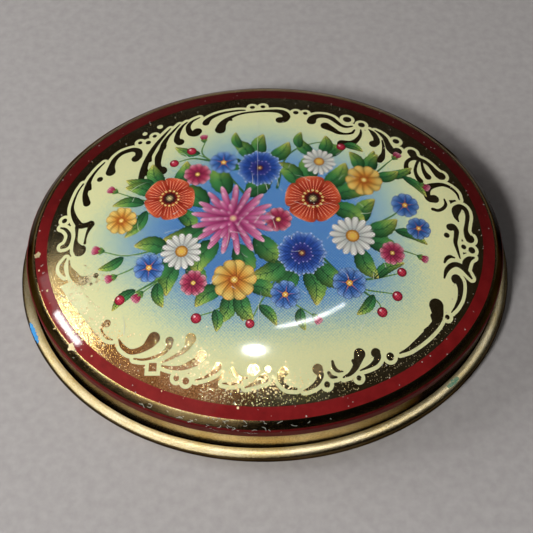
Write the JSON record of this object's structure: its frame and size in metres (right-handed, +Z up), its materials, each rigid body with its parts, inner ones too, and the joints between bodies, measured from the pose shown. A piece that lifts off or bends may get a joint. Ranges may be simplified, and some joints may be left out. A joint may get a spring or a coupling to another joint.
{
  "type": "candy tin",
  "caption": "Oval tinplate candy tin: a low domed slip lid with a curled edge lifts off a shallow seamed base.",
  "frame": {"origin": "middle of the footprint, on the plane the tin stands on", "axes": "+X along the length, +Y towards the back, +Z up out of the lid"},
  "size_m": [0.0802, 0.0672, 0.0181],
  "materials": {
    "printed_lid": "gold-lacquered tinplate with glossy printing and varnish",
    "gold_lacquer": "gold-lacquered tinplate, glossy"
  },
  "bodies": {
    "base": {"body_wall": "gold_lacquer", "bottom_plate": "gold_lacquer"},
    "lid": {"lid": "printed_lid"}
  },
  "joints": [
    {"name": "lid_lift", "type": "slide", "parent": "base", "child": "lid", "axis": [0, 0, 1], "range_m": [0, 0.03]}
  ]
}
